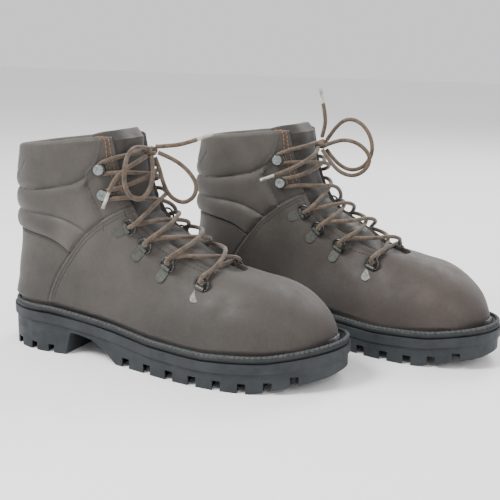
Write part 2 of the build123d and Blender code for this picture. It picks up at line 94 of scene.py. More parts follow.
# ---- materials -----------------------------------------------------------------------------------
class Nodes:
    """A material's node tree, with short calls for the nodes used here."""

    def __init__(self, name):
        self.material = bpy.data.materials.new(name)
        self.material.use_nodes = True
        self.tree = self.material.node_tree
        self.shader = self.tree.nodes["Principled BSDF"]

    def new(self, kind, **settings):
        node = self.tree.nodes.new(kind)
        for key, value in settings.items():
            setattr(node, key, value)
        return node

    def link(self, out, into):
        self.tree.links.new(out, into)

    def position(self):
        return self.new("ShaderNodeTexCoord").outputs["Object"]

    def noise(self, scale, detail=4.0, rough=0.55, where=None):
        node = self.new("ShaderNodeTexNoise")
        node.inputs["Scale"].default_value = scale
        node.inputs["Detail"].default_value = detail
        node.inputs["Roughness"].default_value = rough
        self.link(where or self.position(), node.inputs["Vector"])
        return node.outputs["Fac"]

    def cells(self, scale, feature="F1"):
        node = self.new("ShaderNodeTexVoronoi", feature=feature)
        node.inputs["Scale"].default_value = scale
        self.link(self.position(), node.inputs["Vector"])
        return node.outputs["Distance"]

    def ramp(self, fac, stops):
        node = self.new("ShaderNodeValToRGB")
        ramp = node.color_ramp
        while len(ramp.elements) < len(stops):
            ramp.elements.new(0.5)
        for element, (place, color) in zip(ramp.elements, stops):
            element.position = place
            element.color = (*color, 1.0)
        self.link(fac, node.inputs["Fac"])
        return node.outputs["Color"]

    def map_range(self, value, low, high, out_low, out_high):
        node = self.new("ShaderNodeMapRange")
        for key, number in zip(("From Min", "From Max", "To Min", "To Max"),
                               (low, high, out_low, out_high)):
            node.inputs[key].default_value = number
        self.link(value, node.inputs["Value"])
        return node.outputs["Result"]

    def mix(self, fac, a, b, blend="MIX"):
        node = self.new("ShaderNodeMix", data_type="RGBA", blend_type=blend)
        for value, socket in ((fac, node.inputs[0]), (a, node.inputs[6]), (b, node.inputs[7])):
            if isinstance(value, (int, float)):
                socket.default_value = value
            elif isinstance(value, tuple):
                socket.default_value = (*value, 1.0)
            else:
                self.link(value, socket)
        return node.outputs[2]

    def axis(self, which):
        node = self.new("ShaderNodeSeparateXYZ")
        self.link(self.position(), node.inputs[0])
        return node.outputs[which]

    def bump(self, height, distance, strength=1.0, below=None):
        node = self.new("ShaderNodeBump")
        node.inputs["Distance"].default_value = distance
        node.inputs["Strength"].default_value = strength
        self.link(height, node.inputs["Height"])
        if below:
            self.link(below, node.inputs["Normal"])
        return node.outputs["Normal"]

    def finish(self, color, rough, normal=None, metallic=0.0, sheen=0.0, specular=0.5):
        inputs = self.shader.inputs
        self.link(color, inputs["Base Color"])
        self.link(rough, inputs["Roughness"])
        if normal:
            self.link(normal, inputs["Normal"])
        inputs["Metallic"].default_value = metallic
        inputs["Sheen Weight"].default_value = sheen
        inputs["Sheen Roughness"].default_value = 0.5
        inputs["Specular IOR Level"].default_value = specular
        return self.material


def leather_material(name, dark, mid, light, toe=None, grain=1500.0, depth=0.00016, rough=(0.5, 0.72)):
    """Greased leather: mottled colour, a fine pebbled grain and soft creases; with toe colours, also a
    redder toe and painted shade towards the floor.
    """
    n = Nodes(name)
    mottle = n.noise(16.0, 5.0, 0.6)
    color = n.ramp(mottle, [(0.3, dark), (0.5, mid), (0.72, light)])
    if toe:
        ahead = n.map_range(n.axis("X"), 0.02, 0.13, 0.0, 0.85)
        color = n.mix(ahead, color, n.ramp(n.noise(22.0), [(0.35, toe[0]), (0.7, toe[1])]))
        # painted shade: lower down, the leather is mixed towards near-black, darker towards the floor
        low = n.map_range(n.axis("Z"), 0.03, 0.11, 0.62, 0.0)
        color = n.mix(low, color, (0.016, 0.013, 0.011))
    specks = n.noise(420.0, 3.0, 0.7)
    color = n.mix(0.14, color, n.ramp(specks, [(0.35, (0.02, 0.02, 0.02)), (0.7, light)]))
    pebbles = n.cells(grain)
    fine = n.bump(pebbles, depth, 0.5)
    scuffs = n.bump(n.noise(260.0, 6.0, 0.65), 0.0003, 0.35, fine)
    normal = n.bump(n.noise(45.0, 3.0, 0.5), 0.0012, 0.3, scuffs)
    roughness = n.map_range(n.noise(70.0), 0.3, 0.7, *rough)
    return n.finish(color, roughness, normal, sheen=0.12, specular=0.35)


def rubber_material(name, base, worn):
    n = Nodes(name)
    color = n.ramp(n.noise(38.0, 5.0, 0.6), [(0.35, base), (0.75, worn)])
    dust = n.map_range(n.noise(300.0, 4.0, 0.7), 0.45, 0.75, 0.0, 0.35)
    color = n.mix(dust, color, worn)
    bevel = n.new("ShaderNodeBevel", samples=4)
    bevel.inputs["Radius"].default_value = 0.0007
    normal = n.bump(n.noise(900.0, 3.0, 0.6), 0.00012, 0.5, bevel.outputs["Normal"])
    normal = n.bump(n.noise(60.0, 4.0, 0.6), 0.0006, 0.3, normal)
    return n.finish(color, n.map_range(n.noise(90.0), 0.3, 0.7, 0.5, 0.75), normal, specular=0.4)


def metal_material(name, base, worn, rough, metallic=1.0):
    n = Nodes(name)
    color = n.ramp(n.noise(400.0, 4.0, 0.65), [(0.35, base), (0.7, worn)])
    bevel = n.new("ShaderNodeBevel", samples=4)
    bevel.inputs["Radius"].default_value = 0.0004
    normal = n.bump(n.noise(1400.0, 2.0, 0.6), 0.00006, 0.5, bevel.outputs["Normal"])
    return n.finish(color, n.map_range(n.noise(500.0), 0.3, 0.7, *rough), normal, metallic=metallic)


def lace_material():
    """A round braided lace: fine crossing yarns, painted shade in their hollows and a mottled brown."""
    n = Nodes("lace_braid")
    color = n.ramp(n.noise(170.0, 5.0, 0.7), [(0.3, (0.042, 0.029, 0.02)), (0.7, (0.13, 0.092, 0.064))])
    yarns = n.cells(1250.0)
    # painted shade: the lace is darkened where the yarn cells' distance is small, in the hollows of the
    # bump
    color = n.mix(n.map_range(yarns, 0.0, 0.55, 0.3, 0.0), color, (0.028, 0.02, 0.015))
    normal = n.bump(yarns, 0.0003, 0.7)
    roughness = n.map_range(n.noise(200.0), 0.3, 0.7, 0.7, 0.9)
    return n.finish(color, roughness, normal, sheen=0.25, specular=0.25)


def plain_material(name, low, high, scale=300.0, rough=(0.6, 0.85), depth=0.0002, sheen=0.0):
    n = Nodes(name)
    color = n.ramp(n.noise(scale, 4.0, 0.6), [(0.35, low), (0.7, high)])
    normal = n.bump(n.noise(scale * 3), depth, 0.6)
    return n.finish(color, n.map_range(n.noise(scale / 2), 0.3, 0.7, *rough), normal, sheen=sheen)


TAUPE = ((0.03, 0.026, 0.022), (0.048, 0.041, 0.035), (0.072, 0.062, 0.053))
TOE_BROWN = ((0.034, 0.023, 0.018), (0.066, 0.045, 0.036))
MATERIALS = {
    "upper_leather": leather_material("vamp_leather", *TAUPE, toe=TOE_BROWN),
    "collar_leather": leather_material("padded_leather", *TAUPE, grain=1900.0),
    "facing_leather": leather_material("facing_leather", *[tuple(0.92 * c for c in t) for t in TAUPE]),
    # the tongue's leather is the taupe at 0.62 of its brightness: painted shade for the tongue sunk in
    # the throat
    "tongue_leather": leather_material("tongue_leather", *[tuple(0.62 * c for c in t) for t in TAUPE]),
    "lining": leather_material("lining_leather", (0.035, 0.037, 0.035), (0.05, 0.052, 0.049),
                               (0.075, 0.076, 0.072), grain=2300.0, rough=(0.6, 0.8)),
    "sole_rubber": rubber_material("sole_rubber_worn", (0.009, 0.0115, 0.0135), (0.024, 0.029, 0.032)),
    "welt_rubber": rubber_material("welt_rubber_black", (0.006, 0.007, 0.008), (0.016, 0.018, 0.02)),
    "hook_metal": metal_material("hook_pewter", (0.16, 0.18, 0.18), (0.33, 0.355, 0.345), (0.26, 0.42)),
    "clip_metal": metal_material("clip_gunmetal", (0.06, 0.062, 0.055), (0.095, 0.096, 0.086),
                                 (0.42, 0.55), 0.7),
    "ring_metal": metal_material("ring_black", (0.03, 0.03, 0.03), (0.11, 0.11, 0.11),
                                 (0.28, 0.42), 0.9),
    "lace": lace_material(),
    "lace_tip": plain_material("tip_plastic", (0.2, 0.17, 0.14), (0.5, 0.46, 0.4), 200.0, (0.3, 0.45)),
    "footbed": plain_material("footbed_felt", (0.03, 0.03, 0.03), (0.09, 0.09, 0.09), 700.0, sheen=0.3),
    "board": plain_material("board_fibre", (0.02, 0.018, 0.016), (0.05, 0.045, 0.04)),
    "dark_thread": plain_material("thread_dark", (0.02, 0.018, 0.016), (0.055, 0.048, 0.042), 900.0),
    "rust_thread": plain_material("thread_rust", (0.16, 0.06, 0.025), (0.36, 0.16, 0.07), 900.0),
    "welt_thread": plain_material("thread_black", (0.016, 0.018, 0.019), (0.06, 0.066, 0.068), 700.0),
    "floor": plain_material("floor_paper", (0.9, 0.9, 0.9), (0.92, 0.92, 0.915), 3.0,
                            (0.8, 0.9), 0.00001),
}


def add_mesh(name, verts, faces, foot, material):
    """A new mesh object from boot millimetres, riding on its boot."""
    mesh = bpy.data.meshes.new(name)
    mesh.from_pydata([tuple(p) for p in to_frame(verts, foot)], [], [tuple(f) for f in faces])
    if foot == "left":
        mesh.flip_normals()
    mesh.materials.append(MATERIALS[material])
    mesh.shade_smooth()
    mesh.update()
    piece = bpy.data.objects.new(name, mesh)
    bpy.context.scene.collection.objects.link(piece)
    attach(piece, f"{foot}_boot")
    return piece


# ---- laces ---------------------------------------------------------------------------------------
LACE_D = 3.6
KNOT = (136, 0, 177)
# the laced stretch, worked out from the rings' and hooks' places and rounded to half a millimetre
LACING = [
    (131.5, -4, 178.5), (130, -16, 176.5), (117, -32, 173), (105.5, -35, 167.5),
    (105.5, -35.5, 159.5), (122, -30, 162), (133, -14, 160.5), (135, 0, 158),
    (135, 14, 155), (125, 30, 149), (108, 35.5, 146), (110, 35.5, 138.5),
    (128, 31, 142), (143, 15, 140.5), (147.5, 0, 140), (147.5, -18, 133.5),
    (141, -37, 121), (135, -36, 118.5), (135.5, -28.5, 118.5), (142, -29.5, 121.5),
    (152.5, -17, 123), (160, 0, 121.5), (162, 17.5, 117.5), (153, 36, 109),
    (149, 34.5, 104), (149.5, 27, 105.5), (154.5, 28.5, 111), (174, 19, 112),
    (185.5, 0, 113.5), (185.5, -18.5, 107.5), (173, -37.5, 98), (170, -36.5, 92),
    (170.5, -29, 92), (173.5, -30, 98.5), (196.5, -17, 97), (204.5, 0, 95),
    (209, 17, 91), (204.5, 27, 86.5), (202.5, 27.5, 79.5), (202, 35, 81),
    (203.5, 34.5, 87.5), (203.5, -37.5, 87.5), (202, -38.5, 81), (202.5, -31, 79.5),
    (204.5, -30, 86.5), (209.5, -17.5, 94), (206.5, 0, 99), (196, 18.5, 98.5),
    (173.5, 27.5, 98.5), (170.5, 26.5, 92), (170, 34, 91.5), (173, 35, 97.5),
    (183.5, 18, 104.5), (183, 0, 109.5), (174, -17, 111), (154.5, -30, 111),
    (149.5, -29, 105.5), (149, -36.5, 104.5), (153, -37.5, 109.5), (163.5, -18, 120),
    (162, 0, 125.5), (153.5, 18, 124), (142, 28.5, 121.5), (135.5, 27.5, 118.5),
    (135, 35, 118), (141, 36, 121), (145.5, 17, 131.5), (144, 0, 137),
    (140.5, -14.5, 139.5), (128, -30, 142), (110, -36, 138.5), (108, -35.5, 146),
    (126.5, -31, 149.5), (137.5, -15, 156), (139.5, 0, 160), (135.5, 15, 161.5),
    (122.5, 31, 162.5), (105.5, 35.5, 159.5), (105.5, 35, 167.5), (117, 32, 173),
    (130, 16, 176.5), (131.5, 4, 178.5),
]
# the loops and the ends beyond the knot, with how each one lies
ROUTES = {
    "right": {
        "bow_loop_outer": [
            (136, -5.5, 180), (132, -16, 183), (131, -28, 178), (133, -37, 168), (134, -40, 155),
            (137, -36, 144), (142, -28, 140), (146, -20, 147), (145, -11, 160), (139, -4, 173.5),
        ],
        "bow_loop_inner": [
            (141, 3, 176), (153, 8, 171), (165, 11, 162), (173, 12, 151), (172, 10, 140),
            (163, 6, 134), (153, 1, 140), (148, -1, 151), (144, 0, 163), (139.5, 0.5, 172),
        ],
        "lace_end_outer": [
            (135, -5.5, 173.5), (135, -17, 171), (130, -29, 166), (123, -38, 157), (121, -42, 147),
        ],
        "lace_end_inner": [
            (140, 1, 181), (151, 4, 182), (163, 8, 184), (173, 12, 188),
        ],
    },
    "left": {
        "bow_loop_inner": [
            (140, -1, 181), (148, 0, 193), (160, 1, 202), (174, 2, 199), (184, 2, 187),
            (186, 1, 172), (178, 0, 159), (164, -1, 154), (149, -1, 161), (139.5, -1.5, 172),
        ],
        "bow_loop_outer": [
            (141, 3.5, 176.5), (152, 9, 181), (165, 13, 184), (178, 13, 181), (188, 11, 171),
            (185, 10, 159), (173, 10, 151), (159, 9, 153), (148, 8, 162), (138.5, 5, 172),
        ],
        "lace_end_outer": [
            (134, 5.5, 174), (139, 17, 171), (134, 31, 164), (122, 41, 156), (110, 44, 151),
        ],
        "lace_end_inner": [
            (136, 2, 183.5), (139, 3, 192), (140, 4, 202), (137, 4, 214),
        ],
    },
}


def spline_curve(name, points, foot, diameter, material):
    """A smooth round curve through a route's control points."""
    curve = bpy.data.curves.new(name, "CURVE")
    curve.dimensions = "3D"
    curve.resolution_u = 10
    curve.bevel_depth = diameter / 2 * MM
    curve.bevel_resolution = 5
    curve.use_fill_caps = True
    spline = curve.splines.new("NURBS")
    spline.points.add(len(points) - 1)
    for point, place in zip(spline.points, to_frame(points, foot)):
        point.co = (*place, 1.0)
    spline.order_u = 3
    spline.use_endpoint_u = True
    curve.materials.append(MATERIALS[material])
    piece = bpy.data.objects.new(name, curve)
    bpy.context.scene.collection.objects.link(piece)
    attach(piece, f"{foot}_boot")
    return piece


def route_length(name, points, foot):
    """The length of a route's smooth line, in metres."""
    piece = spline_curve(name, points, foot, 0.0, "lace")
    line = bpy.data.meshes.new_from_object(piece)
    places = [v.co.copy() for v in line.vertices]
    bpy.data.objects.remove(piece)
    bpy.data.meshes.remove(line)
    return sum((b - a).length for a, b in zip(places, places[1:]))


# each turn of the knot: its tilt and its turn in radians, and its reach
KNOT_TURNS = ((0.5, 0.4, 4.4), (-0.9, -0.5, 4.0), (1.5, 0.2, 3.6))
KNOT_STEPS = 8


def make_knot(foot):
    """Three crossing turns of lace pulled tight, as closed rings of lace round the knot's middle."""
    side = 1 if foot == "right" else -1
    for index, (tilt, turn, reach) in enumerate(KNOT_TURNS):
        curve = bpy.data.curves.new(f"{foot}_knot_turn_{index}", "CURVE")
        curve.dimensions = "3D"
        curve.bevel_depth = LACE_D / 2 * MM
        curve.bevel_resolution = 5
        spline = curve.splines.new("NURBS")
        spline.points.add(KNOT_STEPS - 1)
        frame_turn = Matrix.Rotation(turn * side, 3, "Z") @ Matrix.Rotation(tilt, 3, "Y")
        for k, point in enumerate(spline.points):
            angle = 2 * math.pi * k / KNOT_STEPS
            ring = Vector((0.8 * reach * math.cos(angle), reach * 1.15 * math.sin(angle),
                           0.6 * math.cos(3 * angle)))
            place = frame_turn @ ring + Vector(KNOT)
            point.co = (*to_frame([place], foot)[0], 1.0)
        spline.order_u = 3
        spline.use_cyclic_u = True
        curve.materials.append(MATERIALS["lace"])
        piece = bpy.data.objects.new(curve.name, curve)
        bpy.context.scene.collection.objects.link(piece)
        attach(piece, f"{foot}_boot")
    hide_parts(f"{foot}_knot")


def make_laces(foot):
    lacing = spline_curve(f"{foot}_lacing_lace", LACING, foot, LACE_D, "lace")
    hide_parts(f"{foot}_lacing")
    make_knot(foot)
    for name, points in ROUTES[foot].items():
        length = route_length(f"{foot}_{name}_line", points, foot)
        piece = spline_curve(f"{foot}_{name}_lace", points, foot, LACE_D, "lace")
        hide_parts(f"{foot}_{name}")


for foot in FEET:
    make_laces(foot)


# ---- the last: the surface that the upper lies on ------------------------------------------------
# Sections from the rim down round the heel and out to the toe, up to 6 mm off the CAD's last.
# Each is front/top point x, z; back/bottom point x, z; middle y; half widths outer and inner; where
# it is widest from bottom to top; squareness below and above that
LAST = np.array([
    (124, 189, 15, 175, 0, 34, 34, 0.42, 2.3, 3.4),
    (129, 160, 10, 140, 0, 36, 36, 0.42, 2.3, 3.1),
    (138, 136, 10, 98, 0, 37, 36, 0.42, 2.3, 3.0),
    (152, 120, 6, 62, 0, 37, 35, 0.34, 2.4, 3.0),
    (179, 106, 9, 24, 0, 37, 34, 0.28, 3.0, 3.0),
    (203, 90, 75, 17, 0, 39, 35, 0.28, 3.8, 2.9),
    (233, 83, 170, 12, 0, 49, 43, 0.32, 4.0, 2.4),
    (255, 79, 228, 12, 0, 50, 47, 0.34, 3.8, 2.3),
    (272, 71.5, 264, 13, 2, 42, 43, 0.36, 3.2, 2.3),
    (288, 59.5, 287, 18, 4, 28, 29, 0.42, 2.6, 2.2),
    (298, 46, 298, 29, 7, 11, 11, 0.50, 2.0, 2.0),
    (300, 40, 300, 34, 7, 3, 3, 0.50, 2.0, 2.0),
], dtype=float)
ROW_STEP = 1.3  # spacing of the upper's mesh rows
COLUMNS = 250
SHARE_STEPS = 220  # points on a section's side, from its bottom to where it is widest
BACK_STEPS = 300  # the first points of a side, which the throat never cuts
SEAT_LINE = np.array([(-12, 36), (55, 35), (108, 29.5), (160, 24), (212, 22.5), (262, 25),
                      (326, 35)], float)
THROAT_ORIGIN = (118.0, 78.0)
THROAT_EDGE = np.array([(-71.5, 0), (-71, 4), (-69.5, 8), (-66, 12), (-60, 15.5), (-52, 18), (-25, 21),
                        (20, 23), (60, 25), (80, 26.5), (100, 28), (160, 30)], float)
LINER_IN = 5.5


def seat_height(x):
    return np.interp(x, SEAT_LINE[:, 0], SEAT_LINE[:, 1])


def rows_at(u):
    """The section's ten numbers at places u, on a smooth curve through the sections."""
    u = np.clip(np.asarray(u, float), 0, len(LAST) - 1)
    i = np.minimum(u.astype(int), len(LAST) - 2)
    t = (u - i)[:, None]
    a, b = LAST[np.maximum(i - 1, 0)], LAST[i]
    c, d = LAST[i + 1], LAST[np.minimum(i + 2, len(LAST) - 1)]
    return b + 0.5 * t * (c - a + t * (2 * a - 5 * b + 4 * c - d + t * (3 * (b - c) + d - a)))


def section_points(row, side, share):
    """Points of one section: share runs from -1 at the bottom to 1 at the top."""
    tx, tz, bx, bz, mid, outer, inner, widest, low, high = row
    length = math.hypot(tx - bx, tz - bz)
    ux, uz = (tx - bx) / length, (tz - bz) / length
    power = np.where(share > 0, high, low)
    angle = np.abs(share) * math.pi / 2
    away = np.sin(angle) ** (2 / power)
    across = np.clip(np.cos(angle), 0, 1) ** (2 / power)
    t = np.where(share > 0, widest + (1 - widest) * away, widest * (1 - away))
    half = outer if side < 0 else inner
    return np.stack([bx + ux * t * length, mid + side * half * across, bz + uz * t * length], axis=1)


def throat_half(x, z):
    s = (z - THROAT_ORIGIN[1] - x + THROAT_ORIGIN[0]) / math.sqrt(2)
    inside = x + z > sum(THROAT_ORIGIN)
    half = np.interp(s, THROAT_EDGE[:, 0], THROAT_EDGE[:, 1])
    return np.where(inside & (s > THROAT_EDGE[0, 0]), half, 0.0)


def even_shares(count):
    """Shares from -1 to 1, close together where a section's corners are tight."""
    tau = np.linspace(0, 1, count)
    bunched = 0.5 - 0.5 * np.cos(math.pi * tau)
    return np.concatenate([-bunched[::-1], bunched[1:]])


def section_line(row):
    """One section from the throat's outer edge round the bottom to its inner edge, evenly spaced."""
    sides = []
    for side in (-1, 1):
        p = section_points(row, side, even_shares(SHARE_STEPS))
        half = throat_half(p[:, 0], p[:, 2])
        keep = (np.abs(p[:, 1] - row[4]) >= half - 1e-6) | (np.arange(len(p)) < BACK_STEPS)
        line = p[keep]
        if half[keep][-1] > 0 and keep.sum() < len(p):
            k = keep.sum()
            a, b = p[k - 1], p[k]
            ga, gb = abs(a[1] - row[4]) - half[k - 1], abs(b[1] - row[4]) - half[k]
            line = np.vstack([line, a + (b - a) * ga / max(ga - gb, 1e-9)])
        sides.append(line)
    loop = np.vstack([sides[0][::-1], sides[1][1:]])
    run = np.concatenate([[0], np.cumsum(np.linalg.norm(np.diff(loop, axis=0), axis=1))])
    even = np.linspace(0, run[-1], COLUMNS)
    return np.stack([np.interp(even, run, loop[:, k]) for k in range(3)], axis=1)


def grid_normals(grid):
    """Outward normals of a grid of points whose columns run round the boot."""
    along = np.gradient(grid, axis=0)
    across = np.gradient(grid, axis=1)
    joined = np.linalg.norm(grid[:, 0] - grid[:, -1], axis=1) < 0.5
    ends = across[:, 1] * 0.5 + across[:, -2] * 0.5
    across[joined, 0], across[joined, -1] = ends[joined], ends[joined]
    normal = np.cross(across, along)
    normal /= np.maximum(np.linalg.norm(normal, axis=2, keepdims=True), 1e-9)
    return normal * np.sign(np.sum(normal[:, :, 1] * np.sign(grid[:, :, 1])))


# ---- seams, as side-view lines (x, z) ------------------------------------------------------------
QUARTER_SEAM = [(150, 143), (134, 136), (113, 124), (94, 109), (79, 91), (63, 67), (54, 41), (51, 5)]
COLLAR_SEAM = [(-40, 110), (3, 107), (35, 105), (60, 101), (79, 91)]
GROOVES = ([(-30, 140), (4, 141), (40, 142), (69, 147), (84, 151), (96, 158)],
           [(-30, 124), (4, 122.5), (35, 122.5), (66, 121), (84, 116), (96, 110)])
FACING_LINE = [(109, 230), (107, 190), (103, 170), (94, 157), (98, 142), (107, 126), (110, 110)]
CREASES = ([(6, 152), (16, 163)], [(14, 151), (27, 166)], [(24, 152), (34, 165)], [(9, 164), (17, 172)])
ROLL_HEIGHT = 3.8
ROLL_EDGE = 9.0


def smooth_line(points, count=60):
    """A smooth line through points (Catmull-Rom)."""
    p = np.array(points, float)
    p = np.vstack([2 * p[0] - p[1], p, 2 * p[-1] - p[-2]])
    u = np.linspace(0, len(points) - 1, count)
    i = np.minimum(u.astype(int), len(points) - 2)
    t = (u - i)[:, None]
    a, b, c, d = p[i], p[i + 1], p[i + 2], p[i + 3]
    return b + 0.5 * t * (c - a + t * (2 * a - 5 * b + 4 * c - d + t * (3 * (b - c) + d - a)))


def seam_distance(line, x, z):
    """Signed distance to a line in the side view, positive on its left as it runs."""
    shape = x.shape
    q = np.stack([x.ravel(), z.ravel()], axis=1)
    a, b = line[:-1], line[1:]
    ab = b - a
    best = np.full(len(q), 1e9)
    sign = np.ones(len(q))
    for start, run in zip(a, ab):
        v = q - start
        t = np.clip((v @ run) / max(run @ run, 1e-9), 0, 1)
        distance = np.linalg.norm(v - t[:, None] * run, axis=1)
        cross = run[0] * v[:, 1] - run[1] * v[:, 0]
        closer = distance < best
        best = np.where(closer, distance, best)
        sign = np.where(closer, np.sign(cross), sign)
    return (best * np.where(sign == 0, 1, sign)).reshape(shape)


def ramp(value, low, high):
    t = np.clip((value - low) / (high - low), 0, 1)
    return t * t * (3 - 2 * t)


QUARTER_LINE = smooth_line(QUARTER_SEAM)
COLLAR_LINE = smooth_line(COLLAR_SEAM)
GROOVE_LINES = [smooth_line(g) for g in GROOVES]
FRONT_LINE = smooth_line(FACING_LINE)


def upper_fields(x, z):
    """How far ahead of the quarter seam, above the collar seam and ahead of the facing line."""
    return (seam_distance(QUARTER_LINE, x, z), seam_distance(COLLAR_LINE, x, z),
            seam_distance(FRONT_LINE, x, z))


def upper_lift(x, y, z):
    """How far the leather stands off the last."""
    ahead, above, front = upper_fields(x, z)
    vamp = 1.3 * ramp(ahead, -0.4, 0.5)
    quarter_gap = -0.9 * np.exp(-((ahead + 0.9) / 0.7) ** 2)
    grooves = np.min([np.abs(seam_distance(g, x, z)) for g in GROOVE_LINES], axis=0)
    edge = np.minimum(grooves, np.minimum(np.abs(above) * 1.0, np.abs(ahead) * 1.1))
    edge = np.minimum(edge, np.abs(front) * 1.1 + 20 * ramp(z, 148, 156))
    pillow = ROLL_HEIGHT * np.sqrt(np.clip(1 - (1 - np.clip(edge / ROLL_EDGE, 0, 1)) ** 2, 0, 1))
    spread = 0.6 + 9 * ramp(z, 150, 158)
    in_collar = ramp(above, -0.2, 0.6) * ramp(-ahead, -0.1, 0.6) * (1 - ramp(front / spread, -0.5, 1))
    bottom_gap = -1.5 * np.exp(-((above + 0.3) / 0.8) ** 2) * ramp(-ahead, 0.0, 1.0)
    facing = 0.7 * ramp(front, -0.3, 0.5) * ramp(-ahead, 0.0, 0.8)
    creases = sum(np.exp(-(seam_distance(smooth_line(c, 12), x, z) / 0.9) ** 2) for c in CREASES)
    wander = 0.35 * np.sin(x / 13 + 0.7) * np.sin(z / 11 + y / 17) + 0.2 * np.sin(x / 5.1 + z / 6.3)
    rolls = in_collar * (pillow - 0.7 * creases + 0.5 * wander)
    return vamp + quarter_gap + bottom_gap + rolls + facing + 0.3 * wander


SOLE_OUTLINE = np.array([(0, 0), (11, -27), (36, -39), (78, -38.5), (118, -41), (162, -50), (205, -56),
                         (246, -53), (280, -39), (303, -17), (312, 8), (304, 31), (280, 46), (246, 53),
                         (208, 51), (162, 41), (118, 34), (78, 35.5), (36, 39), (11, 27)], dtype=float)
WELT_TOP = 4.5
WELT_LEDGE = 5.4  # the ledge between the sole's edge and the upper
TUCK_TOP = 24.0
TUCK_LET_GO = 12.0  # by the tuck's top, the upper may stand this far out past the sole's edge


def outline_points():
    """The sole's edge as a smooth closed line, outer side first."""
    loop = smooth_line(np.vstack([SOLE_OUTLINE[-3:], SOLE_OUTLINE, SOLE_OUTLINE[:4]]), 900)
    near = np.linalg.norm(loop - SOLE_OUTLINE[0], axis=1)
    return loop[int(np.argmin(near[:450])):450 + int(np.argmin(near[450:]))]


OUTLINE = outline_points()


# ---- upper ---------------------------------------------------------------------------------------
RIM_TURNS = 10
RIM_RISE = 0.75  # the rim roll's height over its half width
EDGE_TURNS = ((0.7, -0.2), (0.9, -1.0), (0.5, -2.0), (0.0, -3.2), (-0.3, -5.4))  # out past the edge, up


def even_rows(first, last, step):
    """Places from first to last whose sections are about a step apart where they are farthest apart."""
    fine = np.linspace(first, last, 1200)
    rows = rows_at(fine)
    moved = np.abs(np.diff(rows[:, :7], axis=0))
    far = np.maximum(np.hypot(moved[:, 0], moved[:, 1]), np.hypot(moved[:, 2], moved[:, 3]))
    run = np.concatenate([[0], np.cumsum(far)])
    return np.interp(np.linspace(0, run[-1], int(run[-1] / step)), run, fine)


def upper_grids():
    """The upper's outer surface, its outward normals and the bare surface of the last under it."""
    places = even_rows(0, len(LAST) - 1, ROW_STEP)
    base = np.array([section_line(row) for row in rows_at(places)])
    normals = grid_normals(base)
    lift = upper_lift(base[:, :, 0], base[:, :, 1], base[:, :, 2])
    outer = tucked(base + normals * lift[:, :, None])
    rim = []
    up = base[0] - base[3]
    up /= np.linalg.norm(up, axis=1, keepdims=True)
    for k in range(RIM_TURNS, 0, -1):
        angle = math.pi * k / RIM_TURNS
        radius = (lift[0] + LINER_IN) / 2
        reach = lift[0] - radius + radius * math.cos(angle)
        rise = RIM_RISE * radius * math.sin(angle)
        rim.append(base[0] + normals[0] * reach[:, None] + up * rise[:, None])
    outer = np.concatenate([np.array(rim), outer])
    sides = []
    for end, inward in ((0, 1), (-1, -2)):
        out = outer[:, end] - outer[:, inward]
        out /= np.maximum(np.linalg.norm(out, axis=1, keepdims=True), 1e-9)
        up_at = np.concatenate([np.repeat(normals[:1, end], RIM_TURNS, axis=0), normals[:, end]])
        joined = np.linalg.norm(outer[:, 0] - outer[:, -1], axis=1) < 0.8
        turns = [outer[:, end] + out * np.where(joined, 0, a)[:, None] + up_at * b
                 for a, b in EDGE_TURNS]
        sides.append(turns)
    whole = np.concatenate([np.array(sides[0][::-1]).transpose(1, 0, 2), outer,
                            np.array(sides[1]).transpose(1, 0, 2)], axis=1)
    return whole, base, normals


def tucked(points):
    """Points near the sole, kept inside its outline so that the welt shows as a ledge all round."""
    flat = points.reshape(-1, 3).copy()
    over = flat[:, 2] - seat_height(flat[:, 0])
    low = np.where(over < TUCK_TOP)[0]
    run = np.roll(OUTLINE, -1, axis=0) - np.roll(OUTLINE, 1, axis=0)
    inward = np.stack([-run[:, 1], run[:, 0]], axis=1)
    inward /= np.linalg.norm(inward, axis=1, keepdims=True)
    for part in np.array_split(low, 40):
        gap = flat[part, None, :2] - OUTLINE[None]
        near = np.argmin((gap ** 2).sum(axis=2), axis=1)
        depth = (gap[np.arange(len(part)), near] * inward[near]).sum(axis=1)
        wanted = WELT_LEDGE * (1 - ramp(over[part], WELT_TOP, TUCK_TOP))
        wanted = wanted - TUCK_LET_GO * ramp(over[part], WELT_TOP + 2, TUCK_TOP)
        short = np.clip(wanted - depth, 0, None)
        flat[part, :2] += inward[near] * short[:, None]
    return flat.reshape(points.shape)


def grid_faces(rows, columns, flip=False):
    i, j = np.meshgrid(np.arange(rows - 1), np.arange(columns - 1), indexing="ij")
    a = (i * columns + j).ravel()
    faces = np.stack([a, a + 1, a + columns + 1, a + columns], axis=1)
    return faces[:, ::-1] if flip else faces


def add_part(name, grid, faces, foot, material, normals=None):
    """The part of a grid that these faces make, as an object with the whole grid's normals."""
    used, index = np.unique(faces, return_inverse=True)
    piece = add_mesh(name, grid.reshape(-1, 3)[used], index.reshape(faces.shape), foot, material)
    if normals is not None:
        n = normals.reshape(-1, 3)[used]
        if foot == "left":
            c, s = math.cos(LEFT_HEADING), math.sin(LEFT_HEADING)
            n = np.stack([n[:, 0] * c + n[:, 1] * s, n[:, 0] * s - n[:, 1] * c, n[:, 2]], axis=1)
        piece.data.normals_split_custom_set_from_vertices([tuple(v) for v in n])
    return piece


